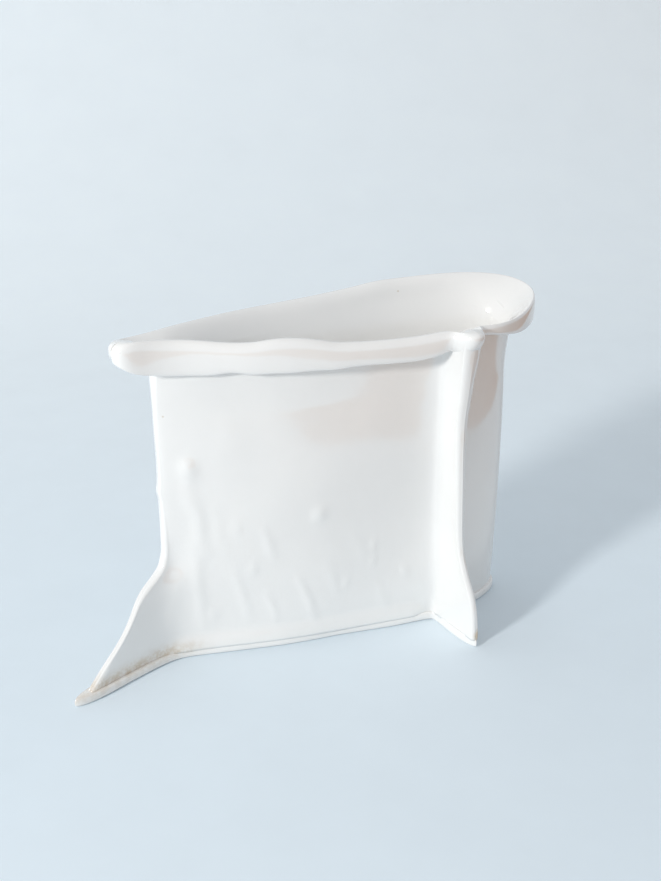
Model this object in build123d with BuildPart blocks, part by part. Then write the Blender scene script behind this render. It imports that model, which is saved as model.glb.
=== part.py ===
from build123d import *
import os
from math import cos, pi, radians, sin, tan

# A hand-built pillow vase. A front and a back slab are pinched together along two side seams,
# stand on a floor slab, carry a clay strip round the mouth and have coils pressed into the inner angles.
# +X runs along the front slab, -Y is the front and +Z is up. The origin is on the resting face.

os.makedirs("parts", exist_ok=True)

# Slabs
wall_thick = 4.0  # both wall slabs
floor_thick = 3.5  # floor slab
leaf_thick = 1.4  # edge of one slab where two are pinched into a foot
left_rib_leaf = 3.7  # the same above the left foot, where the fin is a blunt rib
right_rib_leaf = 4.2  # the same at the top of the right rib
cut_overrun = 15.0  # how far a cutting shape runs past what it cuts

# Heights
rim_height = 126.4  # crown of the mouth above the origin
rim_tilt = 7.0  # degrees by which the mouth rises to the back
strip_height = 10.0  # mouth strip above the origin
strip_roll = 1.2  # degrees by which the strip's lower edge rises to the right
foot_height = 44.0  # the fins widen into feet below this

# Seams: where the inner faces of the slabs meet at the floor, and the way each fin points
left_seam_x = -52.0
left_seam_y = -7.0
left_fin_turn = 220.0
right_seam_x = 50.0
right_seam_y = 4.6
right_fin_turn = 292.1
right_seam_lean = 6.0  # the right seam moves out along its fin from floor to rim

# Front slab's inner face
front_floor_bow = 3.7  # outward bow at the floor
front_rim_bow = 1.2  # outward bow at the rim
front_bow_shares = ((0.28, 1.0), (0.55, 0.9))  # length share from the left seam, bow share

# Back slab's inner face
right_end_x = 81.5
right_end_y = 24.0
right_wall_bow = 2.0
right_bow_shares = ((0.5, 1.0),)  # length share from the right seam, bow share
shoulder_x = 74.0
shoulder_y = 35.5
back_bend_x = 45.0
back_bend_y = 33.0
back_bow = 5.5
back_bow_shares = ((0.3, 0.8), (0.62, 1.0))  # length share from the bend, bow share
belly = 0.8  # outward swell of the back slab at half height

# Fins: reach from the seam to the fin's edge
left_foot_reach = 46.0
left_rib_reach = 6.0
left_lip_reach = 8.0
right_foot_reach = 30.3
right_rib_reach = 13.5
right_lip_reach = 19.3
floor_cove = 3.5  # along the wall, from the seam to where the fin's hollow starts, at the floor
wall_cove = 8.5  # the same above the feet
fin_middle_share = 0.45  # of the fin's reach, where its flank is placed
fin_swell_share = 1.3  # of the leaf, the flank's half thickness there
left_tight_share = 0.3  # how far the corner between the left fin and the wall is drawn in at the floor
right_tight_share = 1.0  # the same at the right fin
tight_height = 34.0  # the corners are soft above this
foot_level_shares = (0.0, 0.27, 0.55, 0.78, 1.0)  # of the foot's height
left_foot_shares = (1.0, 0.735, 0.442, 0.18, 0.0)  # from the rib's reach to the foot's
right_foot_shares = (1.0, 0.917, 0.6, 0.3, 0.185)
left_foot_leaf_shares = (0.0, 0.0, 0.0, 0.2, 0.8)  # from the foot's leaf to the rib's
right_foot_leaf_shares = (0.03, 0.03, 0.03, 0.05, 0.12)
foot_swell_shares = (1.3, 1.4, 1.7, 2.2, 2.5)  # front flank of the right rib, which thickens to the wall
upper_level_shares = (0.6, 0.83, 1.1)  # of the rim's height
left_lip_shares = (0.0, 0.2, 1.0)  # from the rib's reach to the lip's
right_lip_shares = (0.0, 0.22, 1.53)
left_upper_leaf_shares = (0.87, 0.95, 1.04)  # from the foot's leaf to the rib's
right_upper_leaf_shares = (0.33, 0.6, 1.07)
upper_swell_shares = (2.4, 2.2, 1.5)

# Mouth: the walls turn outwards above the last level but one
mouth_flare = 8.0  # outward at the top level, which is above the rim
lip_flare = 5.0  # the inner face turns out this much more
opening = 13.0  # at the right end the inner face turns out further, to the edge of the mouth strip
opening_height = 125.0  # above the origin, where it is that wide
opening_depth = 12.0  # it starts this far below
opening_inset = 1.5  # and this far inside the inner face
opening_level_shares = (0.0, 0.45, 0.78, 1.0, 1.4)  # of the depth
opening_out_shares = (0.0, 0.14, 0.5, 1.0, 1.75)  # of the width at those levels
opening_place_shares = (1.0, 1.0, 0.8)  # at the right wall's middle, the right end and the shoulder

# Crown of the mouth: a wavy surface between two lines, one in front of the vase and one behind it
crown_left_x = -80.0
crown_run = 172.0  # to the right
crown_side = 60.0  # the lines lie this far in front and behind
crown_wave = 10.0  # height unit of the wave, from the rim's height
crown_cap = 6.0  # the wall slabs end this far below, where the mouth strip is folded over them
# Shares of the run, then of the wave in front and behind
crown_place_shares = (0.0, 0.116, 0.233, 0.349, 0.465, 0.552, 0.64, 0.727, 0.814, 0.901, 1.0)
front_crown_shares = (0.08, 0.10, -0.05, -0.29, -0.28, -0.77, -0.98, -0.90, -0.65, -0.90, -0.99)
back_crown_shares = (0.08, 0.10, 0.07, 0.19, 0.20, 0.43, 0.65, 0.66, 0.66, 0.60, 0.57)

# Floor slab
floor_ledge = 1.6  # the floor slab stands out this far from the walls
floor_round = 0.8  # drawn in at the top and bottom edges
floor_level_shares = (0.0, 0.35, 0.7, 1.0)  # of the floor's thickness
floor_inset_shares = (1.0, 0.0, 0.0, 1.0)  # of the rounding at those levels
right_ledge_share = 0.2  # of the ledge, along the right fin
left_tongue = 3.5  # floor slab's tip beyond the left fin
right_tongue = 0.6  # floor slab's tip beyond the right fin

# Mouth strip: overhang beyond the wall
left_overhang = 2.6
front_right_overhang = 6.0
front_overhang_shares = (0.0, 0.0, 0.65, 1.0)  # from the left overhang to the front's right one
right_overhang = 7.0
back_overhang_shares = (1.0, 0.25, 0.1, 0.0, 0.0, 0.2)  # from the left overhang to the right end's
strip_corner_x = 95.0  # the strip's corner at the right end
strip_corner_y = 36.0
strip_near = 8.5  # along the wall from the seam, where the strip leaves it
strip_left_reach = 19.6
strip_left_turn = 212.0
strip_left_front = 4.8  # half width of the strip's left end, in front and behind
strip_left_back = 6.8
strip_right_reach = 12.0  # the strip's right end runs into the rib
strip_right_half = 2.0
strip_shoulder_share = 0.95  # of the half width, beside the tip
strip_middle_share = 1.15  # of the half width, half way along the end
strip_level_shares = (0.0, 0.25, 0.65, 1.0, 1.5)  # of the strip's height
strip_swell_shares = (0.7, 0.95, 1.0, 0.97, 0.8)  # of the overhang at those levels

# Coils pressed into the inner angles
seam_coil_radius = 5.0
seam_coil_drop = 25.0  # the seam coils end this far below the rim
floor_coil_size = 6.0
coil_level_shares = (0.0, 0.45, 0.8, 1.0)  # of the floor coil's height
coil_width_shares = (1.0, 0.88, 0.58, 0.1)  # of the floor coil's width at those levels


def heading(turn):
    return Vector(cos(radians(turn)), sin(radians(turn)))


def right_of(direction):
    return Vector(direction.Y, -direction.X)


def between(first, last, share):
    return first + (last - first) * share


left_seam = Vector(left_seam_x, left_seam_y)
left_fin = heading(left_fin_turn)
right_fin = heading(right_fin_turn)
top_height = rim_height * upper_level_shares[-1]
flare_height = rim_height * upper_level_shares[-2]


def right_seam(height):
    return Vector(right_seam_x, right_seam_y) + right_fin * (right_seam_lean * height / rim_height)


def flare_share(height):
    return max(0.0, (height - flare_height) / (top_height - flare_height))


# Points of a wall's inner face in plan, from seam to seam, anticlockwise round the vase
def bowed(first, last, bow, shares):
    out = right_of((last - first).normalized())
    return [between(first, last, along) + out * (bow * swell) for along, swell in shares]


def even(line, distance):
    return [distance] * (len(line) - 2)


def pushed(line, distances):
    points = []
    for before, here, after, distance in zip(line, line[1:], line[2:], distances):
        points.append(here + right_of((after - before).normalized()) * distance)
    return points


def front_line(height, flare=mouth_flare):
    seam = right_seam(height)
    bow = between(front_floor_bow, front_rim_bow, height / rim_height)
    line = [left_seam, *bowed(left_seam, seam, bow, front_bow_shares), seam]
    return [left_seam, *pushed(line, even(line, flare * flare_share(height))), seam]


def back_line(height, flare=mouth_flare):
    seam = right_seam(height)
    end = Vector(right_end_x, right_end_y)
    bend = Vector(back_bend_x, back_bend_y)
    line = [seam, *bowed(seam, end, right_wall_bow, right_bow_shares), end]
    line += [Vector(shoulder_x, shoulder_y), bend]
    line += [*bowed(bend, left_seam, back_bow, back_bow_shares), left_seam]
    swell = belly * sin(pi * min(height / rim_height, 1.0)) + flare * flare_share(height)
    return [seam, *pushed(line, even(line, swell)), left_seam]


# Outer face of a wall: along one fin's flank, round its hollow, along the wall and out to the other fin
def flank(seam, fin, side, reach, half_width, swell):
    tip = seam + fin * reach + side * half_width
    middle = seam + fin * (reach * fin_middle_share) + side * (half_width * swell)
    return tip, middle


def hollow_corner(seam, along, distance, fin, side, half_width):
    wall_point = seam + right_of(along) * distance
    gap = seam + side * half_width - wall_point
    crossing = along.X * fin.Y - along.Y * fin.X
    return wall_point + along * ((gap.X * fin.Y - gap.Y * fin.X) / crossing)


def skin_points(line, distance, cove, start, end):
    start_fin, start_size, start_tight = start
    end_fin, end_size, end_tight = end
    start_side = right_of(-start_fin)
    end_side = right_of(end_fin)
    along = (line[1] - line[0]).normalized()
    start_cove = line[0] + along * cove + right_of(along) * distance
    start_tip, start_middle = flank(line[0], start_fin, start_side, *start_size)
    start_corner = hollow_corner(line[0], along, distance, start_fin, start_side, start_size[1])
    along = (line[-1] - line[-2]).normalized()
    end_cove = line[-1] - along * cove + right_of(along) * distance
    end_tip, end_middle = flank(line[-1], end_fin, end_side, *end_size)
    end_corner = hollow_corner(line[-1], along, distance, end_fin, end_side, end_size[1])
    start_hollow = between((start_middle + start_cove) / 2, start_corner, start_tight)
    end_hollow = between((end_middle + end_cove) / 2, end_corner, end_tight)
    wall = pushed(line, even(line, distance))
    return [start_tip, start_middle, start_hollow, start_cove, *wall, end_cove, end_hollow, end_middle, end_tip]


def smooth_edge(points):
    degree = 3
    spans = len(points) - degree
    knots = [0] * degree + list(range(spans + 1)) + [spans] * degree
    BSpline(points, knots, degree)


def laid(plane, points):
    drops = [(plane.origin - point).dot(plane.z_dir) / plane.z_dir.Z for point in points]
    return [plane.to_local_coords(point + Vector(0, 0, drop)) for point, drop in zip(points, drops)]


def finned_outline(plane, height, left_reach, right_reach, left_leaf, right_leaf, swell, distance):
    cove = between(floor_cove, wall_cove, min(height / foot_height, 1.0))
    hardness = max(0.0, 1 - height / tight_height)
    left = (left_fin, (left_reach, left_leaf, fin_swell_share), left_tight_share * hardness)
    right_front = (right_fin, (right_reach, right_leaf, swell), right_tight_share * hardness)
    right_back = (right_fin, (right_reach, right_leaf, fin_swell_share), right_tight_share * hardness)
    front = skin_points(front_line(height), distance, cove, left, right_front)
    back = skin_points(back_line(height), distance, cove, right_back, left)
    with BuildSketch(plane) as outline:
        with BuildLine():
            smooth_edge(front)
            Line(front[-1], back[0])
            smooth_edge(back)
            Line(back[-1], front[0])
        make_face()
    return outline.sketch


def wall_outline(height, *fins):
    return finned_outline(Plane.XY.offset(height), height, *fins, wall_thick)


def hollow_outline(height):
    with BuildSketch(Plane.XY.offset(height)) as outline:
        with BuildLine():
            smooth_edge(front_line(height, mouth_flare + lip_flare))
            smooth_edge(back_line(height, mouth_flare + lip_flare))
        make_face()
    return outline.sketch


# Fins at each level: height, reach and leaf of the left and right fin, swell of the right one
def fin_level(height, left_reach, right_reach, left_leaf_share, right_leaf_share, swell):
    left_leaf = between(leaf_thick, left_rib_leaf, left_leaf_share)
    right_leaf = between(leaf_thick, right_rib_leaf, right_leaf_share)
    return height, left_reach, right_reach, left_leaf, right_leaf, swell


foot_leaves = (left_foot_leaf_shares, right_foot_leaf_shares, foot_swell_shares)
upper_leaves = (left_upper_leaf_shares, right_upper_leaf_shares, upper_swell_shares)
foot_levels = []
for level, left, right, *leaves in zip(foot_level_shares, left_foot_shares, right_foot_shares, *foot_leaves):
    left_reach = between(left_rib_reach, left_foot_reach, left)
    right_reach = between(right_rib_reach, right_foot_reach, right)
    foot_levels.append(fin_level(foot_height * level, left_reach, right_reach, *leaves))
upper_levels = [foot_levels[-1]]
for level, left, right, *leaves in zip(upper_level_shares, left_lip_shares, right_lip_shares, *upper_leaves):
    left_reach = between(left_rib_reach, left_lip_reach, left)
    right_reach = between(right_rib_reach, right_lip_reach, right)
    upper_levels.append(fin_level(rim_height * level, left_reach, right_reach, *leaves))


# Everything above the crown of the mouth, or above a surface that lies below it
def crown_outline(side, wave_shares, drop):
    crown = []
    for place, wave in zip(crown_place_shares, wave_shares):
        crown.append((crown_left_x + crown_run * place, rim_height + crown_wave * wave - drop))
    top = top_height + cut_overrun
    left_x = crown_left_x - crown_side
    right_x = crown_left_x + crown_run + crown_side
    frame = [(left_x, crown[0][1]), (left_x, top), (right_x, top), (right_x, crown[-1][1])]
    with BuildSketch(Plane((0, side, 0), (1, 0, 0), (0, -1, 0))) as outline:
        with BuildLine():
            Spline(crown)
            Polyline(crown[0], *frame, crown[-1])
        make_face()
    return outline.sketch


def crown_sides(drop):
    return [crown_outline(-crown_side, front_crown_shares, drop), crown_outline(crown_side, back_crown_shares, drop)]


with BuildPart() as above_crown:
    loft(crown_sides(0))

with BuildPart() as above_slabs:
    loft(crown_sides(crown_cap))

# Whole outside of the walls, filled, and the part of it that ends where the slabs do
with BuildPart() as outside:
    loft([wall_outline(*level) for level in foot_levels])
    loft([wall_outline(*level) for level in upper_levels])

with BuildPart() as slab_outside:
    add(outside.part)
    add(above_slabs.part, mode=Mode.SUBTRACT)

# Space inside the walls
with BuildPart() as hollow:
    loft([hollow_outline(floor_thick), hollow_outline(foot_height)])
    loft([hollow_outline(level[0]) for level in upper_levels])


# Wide flare of the mouth at its right end
def opening_outline(level_share, out_share):
    height = opening_height - opening_depth * (1 - level_share)
    plane = Plane((0, 0, height), (1, 0, 0), (0, -tan(radians(rim_tilt)), 1))
    line = back_line(height, mouth_flare + lip_flare)
    outs = [opening * out_share * place - opening_inset for place in opening_place_shares]
    inward = opening_inset * 2
    start = line[0] - right_fin * inward
    finish = line[4] - right_of((line[5] - line[3]).normalized()) * inward
    points = laid(plane, [start, *pushed(line[:5], outs), finish])
    with BuildSketch(plane) as outline:
        with BuildLine():
            smooth_edge(points)
            Line(points[-1], points[0])
        make_face()
    return outline.sketch


with BuildPart() as mouth_opening:
    loft([opening_outline(*level) for level in zip(opening_level_shares, opening_out_shares)])

# Everything in front of the line that runs down the middle of both fins
far = right_end_x - left_seam_x
with BuildPart() as front_side:
    with BuildSketch(Plane.XY.offset(-cut_overrun)):
        with BuildLine():
            Polyline(
                left_seam + left_fin * far,
                left_seam,
                right_seam(0),
                right_seam(0) + right_fin * far,
                (left_seam_x, right_seam_y - far),
                close=True,
            )
        make_face()
    extrude(amount=top_height + cut_overrun * 2)

# Ground that the walls stand on
with BuildPart() as ground:
    with BuildSketch(Plane.XY.offset(-cut_overrun)):
        Rectangle(far * 2, far * 2)
    extrude(amount=cut_overrun + floor_thick)


# Floor slab, drawn out to a tongue under each foot
def floor_outline(level_share, inset_share):
    inset = floor_round * inset_share
    ledge = floor_ledge - inset
    left_reach = left_foot_reach + left_tongue - inset
    right_reach = right_foot_reach + right_tongue - inset
    left_leaf = leaf_thick + ledge
    right_leaf = leaf_thick + ledge * right_ledge_share
    fins = (left_reach, right_reach, left_leaf, right_leaf, fin_swell_share)
    return finned_outline(Plane.XY.offset(floor_thick * level_share), 0, *fins, wall_thick + ledge)


with BuildPart() as base_slab:
    loft([floor_outline(*level) for level in zip(floor_level_shares, floor_inset_shares)])

# Front wall slab with the front leaves of both fins
with BuildPart() as front_slab:
    add(slab_outside.part)
    add(hollow.part, mode=Mode.SUBTRACT)
    add(ground.part, mode=Mode.SUBTRACT)
    add(front_side.part, mode=Mode.INTERSECT)

# Back wall slab, bent round the right end, with the back leaves of both fins
with BuildPart() as back_slab:
    add(slab_outside.part)
    add(hollow.part, mode=Mode.SUBTRACT)
    add(mouth_opening.part, mode=Mode.SUBTRACT)
    add(ground.part, mode=Mode.SUBTRACT)
    add(front_side.part, mode=Mode.SUBTRACT)


# Mouth strip outside the walls and over their top, still in one ring
def strip_plane(share):
    height = rim_height - strip_height * (1 - share)
    roll = tan(radians(strip_roll)) * (1 - share)
    return Plane((0, 0, height), (1, 0, roll), (-roll, -tan(radians(rim_tilt)), 1))


def strip_end(seam, way, reach, half_width, side):
    tip = seam + way * reach
    shoulder = tip + side * (half_width * strip_shoulder_share)
    middle = seam + way * (reach / 2) + side * (half_width * strip_middle_share)
    return [tip, shoulder, middle]


def strip_side(line, distances, corner):
    along = (line[1] - line[0]).normalized()
    first = line[0] + along * strip_near + right_of(along) * distances[0]
    along = (line[-1] - line[-2]).normalized()
    last = line[-1] - along * strip_near + right_of(along) * distances[-1]
    wall = pushed(line, distances[1:-1])
    return [first, *wall[:2], *corner, *wall[2:], last]


def strip_outline(level_share, swell_share):
    plane = strip_plane(level_share)
    seam = right_seam(rim_height)
    left_way = heading(strip_left_turn)
    left_reach = between(left_lip_reach, strip_left_reach, swell_share)
    right_reach = strip_right_reach * swell_share
    right_half = strip_right_half * swell_share
    fronts = [between(left_overhang, front_right_overhang, share) for share in front_overhang_shares]
    backs = [between(left_overhang, right_overhang, share) for share in back_overhang_shares]
    backs = [backs[0], *backs, backs[-1]]
    corner = between(Vector(right_end_x, right_end_y), Vector(strip_corner_x, strip_corner_y), swell_share)
    front_half = strip_left_front * swell_share
    back_half = strip_left_back * swell_share
    left_front = strip_end(left_seam, left_way, left_reach, front_half, right_of(-left_way))
    left_back = strip_end(left_seam, left_way, left_reach, back_half, right_of(left_way))
    right_front = strip_end(seam, right_fin, right_reach, right_half, right_of(right_fin))
    right_back = strip_end(seam, right_fin, right_reach, right_half, right_of(-right_fin))
    front = strip_side(front_line(rim_height), [wall_thick + over * swell_share for over in fronts], [])
    back = strip_side(back_line(rim_height), [wall_thick + over * swell_share for over in backs], [corner])
    with BuildSketch(plane) as outline:
        with BuildLine():
            smooth_edge(laid(plane, [*left_front, *front, *right_front[::-1]]))
            smooth_edge(laid(plane, [*right_back, *back, *left_back[::-1]]))
        make_face()
    return outline.sketch


with BuildPart() as strip_ring:
    loft([strip_outline(*level) for level in zip(strip_level_shares, strip_swell_shares)])
    add(outside.part)
    add(slab_outside.part, mode=Mode.SUBTRACT)
    add(above_crown.part, mode=Mode.SUBTRACT)
    add(hollow.part, mode=Mode.SUBTRACT)
    add(mouth_opening.part, mode=Mode.SUBTRACT)

with BuildPart() as front_rim_strip:
    add(strip_ring.part)
    add(front_side.part, mode=Mode.INTERSECT)

with BuildPart() as back_rim_strip:
    add(strip_ring.part)
    add(front_side.part, mode=Mode.SUBTRACT)


# Coils up the seams: a round bead that fills the angle between the two slabs
def bead_outline(centre, height):
    with BuildSketch(Plane((centre.X, centre.Y, height))) as outline:
        Circle(seam_coil_radius)
    return outline.sketch


seam_coil_top = rim_height - seam_coil_drop
with BuildPart() as left_seam_coil:
    loft([bead_outline(left_seam, floor_thick), bead_outline(left_seam, seam_coil_top)])
    add(hollow.part, mode=Mode.INTERSECT)
    add(front_slab.part, mode=Mode.SUBTRACT)

with BuildPart() as right_seam_coil:
    loft([bead_outline(right_seam(height), height) for height in (floor_thick, seam_coil_top)])
    add(hollow.part, mode=Mode.INTERSECT)


# Coils along the floor: a quarter round that fills the angle between floor and wall, up to the seam coils
def coil_outline(line, level_share, width_share):
    outer = [line[0], *pushed(line, even(line, cut_overrun)), line[-1]]
    inner = [line[0], *pushed(line, even(line, -floor_coil_size * width_share)), line[-1]]
    with BuildSketch(Plane.XY.offset(floor_thick + floor_coil_size * level_share)) as outline:
        with BuildLine():
            smooth_edge(outer)
            smooth_edge(inner)
        make_face()
    return outline.sketch


coil_levels = list(zip(coil_level_shares, coil_width_shares))
with BuildPart() as front_floor_coil:
    loft([coil_outline(front_line(floor_thick), *level) for level in coil_levels])
    add(hollow.part, mode=Mode.INTERSECT)
    add(left_seam_coil.part, mode=Mode.SUBTRACT)
    add(right_seam_coil.part, mode=Mode.SUBTRACT)

with BuildPart() as back_floor_coil:
    loft([coil_outline(back_line(floor_thick), *level) for level in coil_levels])
    add(hollow.part, mode=Mode.INTERSECT)
    add(left_seam_coil.part, mode=Mode.SUBTRACT)
    add(right_seam_coil.part, mode=Mode.SUBTRACT)
    add(front_floor_coil.part, mode=Mode.SUBTRACT)

pieces = {
    "base_slab": base_slab,
    "front_slab": front_slab,
    "back_slab": back_slab,
    "front_rim_strip": front_rim_strip,
    "back_rim_strip": back_rim_strip,
    "left_seam_coil": left_seam_coil,
    "right_seam_coil": right_seam_coil,
    "front_floor_coil": front_floor_coil,
    "back_floor_coil": back_floor_coil,
}
for name, piece in pieces.items():
    piece.part.label = name
    export_step(piece.part, f"parts/{name}.step")
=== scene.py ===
from math import cos, pi, radians, sin

import bmesh
import bpy
import numpy as np
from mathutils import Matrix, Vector, noise


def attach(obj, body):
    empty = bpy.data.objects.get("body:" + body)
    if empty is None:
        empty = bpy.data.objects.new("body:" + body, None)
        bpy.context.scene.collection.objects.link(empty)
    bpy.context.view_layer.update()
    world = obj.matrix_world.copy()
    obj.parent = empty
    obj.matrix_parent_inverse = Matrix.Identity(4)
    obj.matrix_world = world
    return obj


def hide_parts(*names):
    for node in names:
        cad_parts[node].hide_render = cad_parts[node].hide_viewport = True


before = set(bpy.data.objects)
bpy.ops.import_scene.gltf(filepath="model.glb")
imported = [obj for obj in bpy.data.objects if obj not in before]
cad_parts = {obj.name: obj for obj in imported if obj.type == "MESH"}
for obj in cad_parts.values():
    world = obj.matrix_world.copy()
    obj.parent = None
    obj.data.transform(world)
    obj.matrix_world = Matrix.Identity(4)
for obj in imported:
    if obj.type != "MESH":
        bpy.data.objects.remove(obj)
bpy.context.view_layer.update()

print("frame loaded,", len(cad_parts), "nodes")


# Plan helpers, all on arrays of plan points

def heading(turn):
    return np.array((cos(radians(turn)), sin(radians(turn))))


def rightOf(way):
    return np.stack((way[..., 1], -way[..., 0]), -1)


def unit(way):
    return way / np.linalg.norm(way, axis=-1, keepdims=True)


def between(first, last, share):
    return first + (last - first) * share


def ease(share):
    share = np.clip(share, 0.0, 1.0)
    return share * share * (3.0 - 2.0 * share)


def rising(x, start, length):  # 0 up to the start, 1 past the length
    return ease((x - start) / length)


def follow(table, x):  # smooth line through a table of (place, value)
    places, values = np.array(table, float).T
    slopes = np.gradient(values, places)
    k = np.clip(np.searchsorted(places, x) - 1, 0, len(places) - 2)
    span = places[k + 1] - places[k]
    t = np.clip((x - places[k]) / span, 0.0, 1.0)
    rise = ease(t)
    lift = slopes[k] * t * (1 - t) ** 2 - slopes[k + 1] * t * t * (1 - t)
    return values[k] + (values[k + 1] - values[k]) * rise + lift * span


def runAlong(points, shares, degree=3):  # clamped spline on control points, at shares of its length
    count = len(points)
    spans = count - degree
    knots = np.concatenate((np.zeros(degree), np.arange(spans + 1), np.full(degree, spans)))
    t = np.clip(shares, 0.0, 1.0 - 1e-9) * spans
    weights = [((knots[i] <= t) & (t < knots[i + 1])).astype(float) for i in range(count + degree)]
    for step in range(1, degree + 1):
        raised = []
        for i in range(count + degree - step):
            total = np.zeros_like(t)
            if knots[i + step] > knots[i]:
                total = total + (t - knots[i]) / (knots[i + step] - knots[i]) * weights[i]
            if knots[i + step + 1] > knots[i + 1]:
                total = total + (knots[i + step + 1] - t) / (knots[i + step + 1] - knots[i + 1]) * weights[i + 1]
            raised.append(total)
        weights = raised
    return sum(w[..., None] * p for w, p in zip(weights, points))


def spread(points, count, crowd, fineCount=3000):  # even shares along a spline, drawn a little to its crowded points
    fine = np.linspace(0.0, 1.0, fineCount)
    steps = np.linalg.norm(np.diff(runAlong(points, fine), axis=0), axis=1)
    length = np.concatenate(((0.0,), np.cumsum(steps))) / steps.sum()
    return np.interp(np.linspace(0.0, 1.0, count), between(length, fine, crowd), fine)


# The vase's plan: two slabs pinched along two seams

vase = {
    "wall": 0.0040,
    "floor": 0.0035,
    "rim": 0.1264,
    "leftSeam": (-0.0520, -0.0070),
    "leftTurn": ((0, 220), (30, 220), (38, 214), (48, 196), (60, 178), (75, 170), (104, 170), (118, 188), (127, 200),
                 (140, 204)),  # mm up, way the fin points
    "rightSeam": (0.0500, 0.0046),
    "rightTurn": ((0, 292.1), (140, 292.1)),
    "rightLean": 0.0060,  # the right seam moves out along its fin
    "frontBow": (0.0030, 0.0010),  # at the floor and at the rim
    "frontBowAt": ((0.28, 1.0), (0.55, 0.9)),  # share along the wall, share of the bow
    "frontBelly": (0.0013, 0.0037),
    "frontDip": 0.0021,  # the wall sinks a little beside the right rib
    "frontDipOver": (0.010, 0.030),  # from this height on, over this length
    "rightEnd": (0.0815, 0.0240),
    "rightBow": 0.0020,
    "rightBowAt": ((0.5, 1.0),),
    "shoulder": (0.0740, 0.0355),
    "bend": (0.0450, 0.0330),
    "backBow": 0.0052,
    "backBowAt": ((0.3, 0.8), (0.62, 1.0)),
    "belly": 0.0008,
    "flareFrom": 0.0980,
    "flareTo": 0.1390,
    "flarePower": 1.5,
    "flare": 0.0080,  # outward, of the outer face
    "lipFlare": 0.0130,  # of the inner face
    "crowdSteps": (0.0005, 0.0015, 0.0050),  # control points of the inner face beside a seam
    "leftReach": ((0, 46.5), (5.6, 41.6), (11.5, 36), (16, 31), (21.7, 25.4), (25.3, 22.4), (29, 19.4), (32.3, 15.6),
                  (35.4, 10.6), (38, 7.3), (42, 5.3), (50, 4.4), (61, 4.2), (65, 4.3), (68, 4.8), (71, 4.4),
                  (78, 4.2), (90, 4.5), (112, 4.9), (140, 6.8)),  # mm up, mm out
    "rightReach": ((0, 30.5), (5.7, 30.2), (9.4, 29.7), (15.2, 28.5), (20.3, 26.5), (27.4, 22.2), (35, 18.6), (42, 17),
                   (51.5, 15.9), (65, 14.6), (79, 13.4), (89, 13), (99, 13.9), (112, 15.2), (120, 16.2), (127, 18.6),
                   (140, 21)),
    "leftLeaf": ((0, 1.4), (28, 1.4), (36, 1.9), (46, 2.5), (104, 2.7), (120, 3.3),
                 (140, 3.8)),  # mm up, half thickness of the fin in mm
    "rightLeaf": ((0, 1.5), (30, 1.5), (60, 2.0), (90, 2.6), (108, 3.2), (118, 3.8), (127, 4.2), (140, 4.4)),
    "swellAt": 0.47,  # where a fin's flank swells, share of its reach
    "leftSwell": 1.1,  # times the half thickness
    "ribSwell": ((0, 1.3), (20, 1.2), (44, 1.05), (100, 1.05), (140, 1.1)),  # mm up, of the right fin's front flank
    "backSwell": 1.3,  # of its back flank
    "edgeRound": (0.0032, 0.0020),  # rounding of the left and right fin's edge
    "roundShare": 0.8,  # at most this share of the half thickness
    "leftCove": ((0, 3.2), (20, 5), (44, 11), (60, 15), (104, 15),
                 (140, 10)),  # mm up, mm from the seam to the wall's even face
    "rightCove": ((0, 3.2), (20, 4.0), (44, 5.2), (140, 5.8)),
    "tightness": (0.3, 1.0),  # of the corner between wall and left or right fin at the floor
    "tightUpTo": 0.034,
    "ribLedge": 0.1,  # share of the floor slab's ledge that the right fin gets
}
mm = 0.001


def finSize(name, z):
    return follow(vase[name], z / mm)[..., None] * mm


def finWay(name, z):
    turn = np.radians(follow(vase[name], z / mm))
    return np.stack((np.cos(turn), np.sin(turn)), -1)


def leftFin(z):
    return finWay("leftTurn", z)


def rightFin(z):
    return finWay("rightTurn", z)


def leftSeamAt(z):
    return np.array(vase["leftSeam"]) + np.zeros(z.shape + (1,))


def rightSeamAt(z):
    return np.array(vase["rightSeam"]) + (z / vase["rim"] * vase["rightLean"])[..., None] * rightFin(z)


def flareAt(z):
    share = np.clip((z - vase["flareFrom"]) / (vase["flareTo"] - vase["flareFrom"]), 0.0, None)
    return (share ** vase["flarePower"])[..., None]


def bowed(first, last, bow, shares):
    out = rightOf(unit(last - first))
    return [between(first, last, along) + out * bow * swell for along, swell in shares]


def pushed(line, distances):  # each inner point of a line, moved to its right
    moved = []
    for before, here, after, distance in zip(line, line[1:], line[2:], distances):
        moved.append(here + rightOf(unit(after - before)) * distance)
    return moved


def frontWall(z, flare):
    first, last = leftSeamAt(z), rightSeamAt(z)
    bow = between(vase["frontBow"][0], vase["frontBow"][1], z / vase["rim"])[..., None]
    line = [first, *bowed(first, last, bow, vase["frontBowAt"]), last]
    belly = np.sin(pi * np.clip(z / vase["rim"], 0.0, 1.0))[..., None]
    return [first, *pushed(line, [flare * flareAt(z) + swell * belly for swell in vase["frontBelly"]]), last]


def backWall(z, flare):
    first, last = rightSeamAt(z), leftSeamAt(z)
    end, shoulder, bend = (np.array(vase[name]) + 0 * first for name in ("rightEnd", "shoulder", "bend"))
    line = [first, *bowed(first, end, vase["rightBow"], vase["rightBowAt"]), end, shoulder, bend]
    line += [*bowed(bend, last, vase["backBow"], vase["backBowAt"]), last]
    swell = vase["belly"] * np.sin(pi * np.minimum(z / vase["rim"], 1.0))[..., None] + flare * flareAt(z)
    return [first, *pushed(line, [swell] * (len(line) - 2)), last]


def innerLine(line):  # control points crowd at the seams, where the mouth roll turns its ends
    start, end = line[1] - line[0], line[-1] - line[-2]
    near = [line[0] + unit(start) * step for step in vase["crowdSteps"]]
    far = [line[-1] - unit(end) * step for step in vase["crowdSteps"][::-1]]
    return [line[0], *near, *line[1:-1], *far, line[-1]]


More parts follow.
